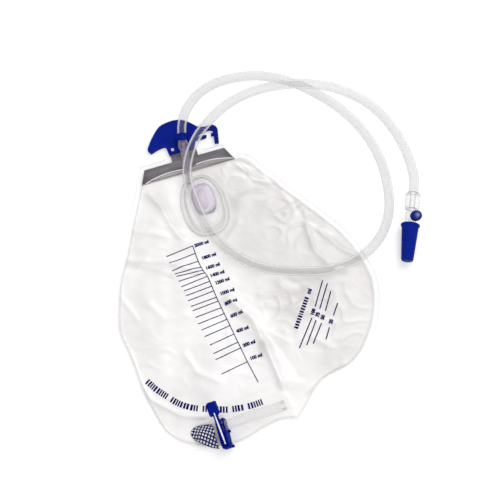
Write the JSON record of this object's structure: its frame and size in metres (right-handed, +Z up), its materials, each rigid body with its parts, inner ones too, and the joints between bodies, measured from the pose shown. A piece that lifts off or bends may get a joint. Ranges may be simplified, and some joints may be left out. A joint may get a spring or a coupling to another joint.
{
  "type": "urine drainage bag",
  "caption": "Soft clear urine collection bag with drip chamber, hanger hook, coiled drainage tube with capped catheter adapter, and a lever clamp on its outlet tube.",
  "frame": {"origin": "underside of the back film, on the hanger bar's centre line and 134 mm below the bar's centre", "axes": "+Z up out of the lying bag, +Y along the bag towards the hanger hook, +X across it to the side where the tube coils"},
  "size_m": [0.3391, 0.3747, 0.0333],
  "materials": {
    "clear_film": "clear flexible film, milky where it is doubled",
    "clear_plastic": "clear, smooth",
    "violet_plastic": "tinted, translucent",
    "blue_plastic": "moulded, satin to glossy",
    "smoke_plastic": "grey tint, translucent",
    "white_filter": "matt membrane in a clear rim"
  },
  "bodies": {
    "bag": {"back_film": "clear_film", "front_film": "clear_film", "hanger_bar": "smoke_plastic", "hanger_hook": "blue_plastic", "inlet_connector": "clear_plastic", "drip_chamber_shell": "clear_plastic", "reflux_valve": "violet_plastic", "reflux_flap": "clear_plastic", "vent_filter": "white_filter", "outlet_port": "clear_plastic", "outlet_tube": "clear_plastic", "outlet_pocket": "clear_film", "clamp_housing": "blue_plastic", "clamp_pin": "blue_plastic", "adapter_grip": "clear_plastic", "catheter_adapter": "clear_plastic", "sample_port_septum": "blue_plastic", "drainage_tube": "clear_plastic"},
    "lever": {"clamp_lever": "blue_plastic"},
    "cap": {"protective_cap": "blue_plastic"}
  },
  "joints": [
    {"name": "lever_hinge", "type": "hinge", "parent": "bag", "child": "lever", "pos_m": [-0.04449, -0.15016, 0.0127], "axis": [0.9653, -0.0337, 0.2588], "range_deg": [-24, 40], "deforming": ["outlet_tube"]},
    {"name": "cap_slide", "type": "slide", "parent": "bag", "child": "cap", "axis": [-0.4083, -0.9128, 0], "range_m": [0, 0.045]}
  ]
}
